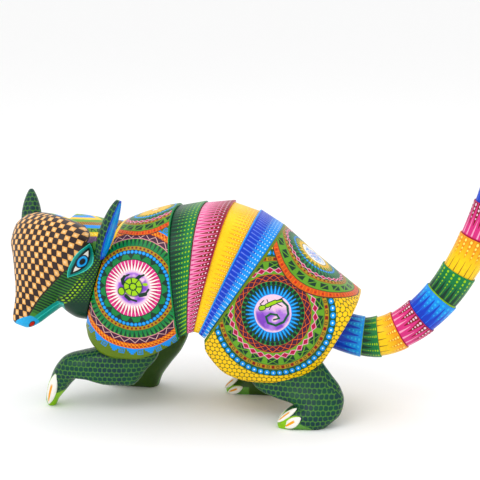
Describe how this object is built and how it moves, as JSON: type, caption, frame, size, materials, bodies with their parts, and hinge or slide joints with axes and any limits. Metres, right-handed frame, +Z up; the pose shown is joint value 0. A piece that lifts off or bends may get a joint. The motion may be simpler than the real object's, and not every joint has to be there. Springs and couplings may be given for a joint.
{
  "type": "armadillo folk-art figure",
  "caption": "Carved and painted wooden armadillo in mid-step: arched body blocks with fan-shaped bands, lowered turned head, leaf ears, bent legs and a tail of flared rings curving up.",
  "frame": {"origin": "on the floor under the middle of the figure's bounding box", "axes": "+Z up, -X the way the animal walks, -Y its left side, +X the tail"},
  "size_m": [0.3572, 0.097, 0.2496],
  "materials": {
    "shell_green": "painted green, semi-gloss varnish",
    "shell_gold": "painted gold and green, semi-gloss varnish",
    "band_green": "painted, semi-gloss varnish",
    "band_pink": "painted, semi-gloss varnish",
    "band_yellow": "painted, semi-gloss varnish",
    "band_blue": "painted, semi-gloss varnish",
    "face": "painted green with a bare chequered brow, semi-gloss varnish",
    "ear": "painted, semi-gloss varnish",
    "scales": "painted dark green scales, semi-gloss varnish",
    "ring_blue": "painted, semi-gloss varnish",
    "ring_green": "painted, semi-gloss varnish",
    "ring_yellow": "painted, semi-gloss varnish",
    "ring_pink": "painted, semi-gloss varnish",
    "bare_wood": "bare, sanded"
  },
  "bodies": {
    "body": {"shoulder_shield": "shell_green", "rump_shield": "shell_gold", "band_green": "band_green", "band_pink": "band_pink", "band_yellow": "band_yellow", "band_blue": "band_blue", "head": "face", "foreleg_left": "scales", "foreleg_right": "scales", "hindleg_left": "scales", "hindleg_right": "scales", "spine_dowel": "bare_wood"},
    "ear_left": {"ear_left": "ear"},
    "ear_right": {"ear_right": "ear"},
    "tail": {"tail_peg": "bare_wood", "tail_tip": "ring_blue", "tail_ring_01": "ring_blue", "tail_ring_02": "ring_green", "tail_ring_03": "ring_yellow", "tail_ring_04": "ring_pink", "tail_ring_05": "ring_blue", "tail_ring_06": "ring_green", "tail_ring_07": "ring_yellow", "tail_ring_08": "ring_pink", "tail_ring_09": "ring_blue", "tail_ring_10": "ring_green", "tail_ring_11": "ring_yellow", "tail_ring_12": "ring_pink"}
  },
  "joints": [
    {"name": "ear_left_pull", "type": "slide", "parent": "body", "child": "ear_left", "axis": [0.766, -0.6428, 0], "range_m": [0, 0.013]},
    {"name": "ear_right_pull", "type": "slide", "parent": "body", "child": "ear_right", "axis": [-0.766, 0.6428, 0], "range_m": [0, 0.013]},
    {"name": "tail_pull", "type": "slide", "parent": "body", "child": "tail", "axis": [0.9659, 0, -0.2588], "range_m": [0, 0.026]}
  ]
}
